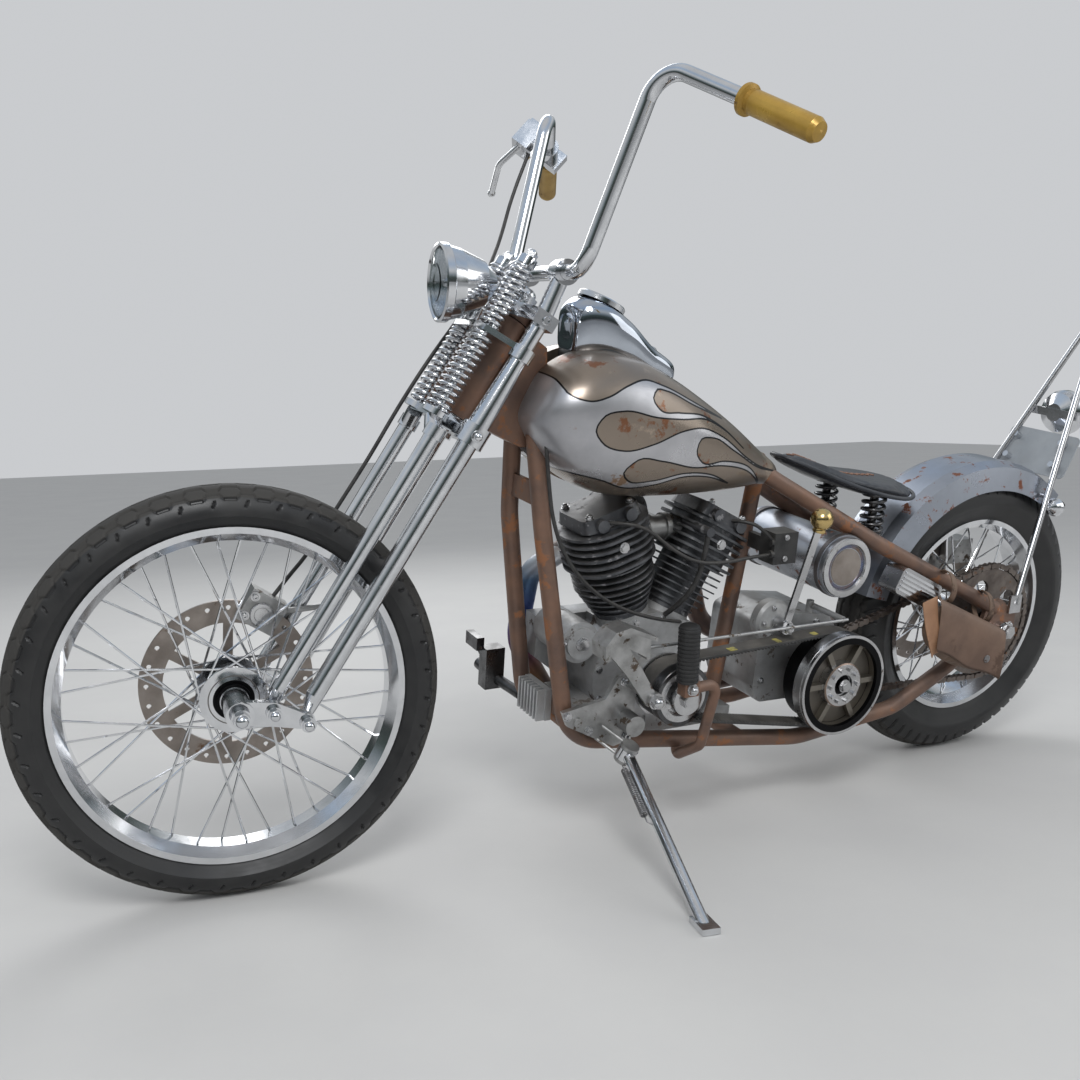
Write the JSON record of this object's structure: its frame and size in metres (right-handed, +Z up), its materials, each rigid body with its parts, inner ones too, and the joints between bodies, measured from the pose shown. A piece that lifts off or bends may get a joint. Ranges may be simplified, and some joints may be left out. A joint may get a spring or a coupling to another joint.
{
  "type": "motorcycle",
  "caption": "Long-forked custom motorcycle with a springer fork, open belt drive, solo seat and sissy bar, leaning on its side stand with the front wheel turned.",
  "frame": {"origin": "centre of the overall box, at road level", "axes": "+X ahead along the machine, +Y to the rider's left, +Z up"},
  "size_m": [2.3073, 0.9958, 1.3519],
  "materials": {
    "tyre_rubber": "dusty matte black",
    "chrome": "bright, with light pitting",
    "rusty_frame": "bare steel gone brown",
    "bare_steel": "bare sheet with rust spots",
    "tank_paint": "bare and grey-tan with light flames",
    "dark_iron": "black fins with worn edges",
    "case_aluminium": "dull cast, dusty",
    "polished_aluminium": "polished",
    "blued_steel": "heat-tinted and rusty",
    "disc_steel": "worn, light rust",
    "chain_steel": "oiled",
    "belt_rubber": "matte",
    "seat_leather": "smooth black",
    "bag_leather": "worn brown",
    "gold_grip": "gold",
    "brass": "polished",
    "lens_glass": "clear",
    "black_plastic": "black"
  },
  "bodies": {
    "frame": {"frame": "rusty_frame", "rear_axle": "chrome", "tank_left": "tank_paint", "tank_right": "tank_paint", "dash": "chrome", "seat": "seat_leather", "seat_springs": "chrome", "rear_fender": "bare_steel", "sissy_bar": "chrome", "oil_tank": "bare_steel", "crankcase": "case_aluminium", "generator": "case_aluminium", "cylinders": "dark_iron", "heads": "dark_iron", "intake": "case_aluminium", "exhaust": "blued_steel", "gearbox": "case_aluminium", "drive_pulley": "polished_aluminium", "clutch": "polished_aluminium", "primary_belt": "belt_rubber", "final_chain": "chain_steel", "coil_cover": "chrome", "tool_bag": "bag_leather", "shift_lever": "brass", "stand_bracket": "bare_steel", "clutch_pedal": "chrome", "left_peg": "bare_steel", "foot_controls_right": "chrome", "tail_lamp": "chrome", "rear_caliper": "case_aluminium", "ignition_coil": "black_plastic", "spark_leads": "black_plastic", "control_cable": "black_plastic", "oil_hose": "black_plastic"},
    "fork": {"rigid_fork": "chrome", "spring_fork": "chrome", "fork_springs": "chrome", "rockers": "chrome", "handlebar": "chrome", "grips": "gold_grip", "brake_lever": "chrome", "headlamp": "chrome", "headlamp_lens": "lens_glass", "front_caliper": "case_aluminium", "brake_hose": "black_plastic"},
    "front_wheel": {"front_tyre": "tyre_rubber", "front_wheel": "chrome", "front_disc": "disc_steel"},
    "rear_wheel": {"rear_tyre": "tyre_rubber", "rear_wheel": "chrome", "rear_disc": "disc_steel", "rear_sprocket": "chain_steel"},
    "stand": {"side_stand": "chrome"}
  },
  "joints": [
    {"name": "steering", "type": "hinge", "parent": "frame", "child": "fork", "pos_m": [0.39314, -0.06689, 0.8615], "axis": [-0.5276, 0.1403, 0.8378], "range_deg": [-17.4, 34.6]},
    {"name": "front_wheel_spin", "type": "hinge", "parent": "fork", "child": "front_wheel", "pos_m": [0.8111, -0.16539, 0.34391], "axis": [0.1272, 0.9882, -0.0854], "continuous": true},
    {"name": "rear_wheel_spin", "type": "hinge", "parent": "frame", "child": "rear_wheel", "pos_m": [-0.81313, -0.15711, 0.32141], "axis": [0.0001, 0.9863, -0.165], "continuous": true},
    {"name": "side_stand_fold", "type": "hinge", "parent": "frame", "child": "stand", "pos_m": [0.14798, -0.01714, 0.17709], "axis": [-0.2218, 0.4865, 0.8451], "range_deg": [0, 87.9]}
  ]
}
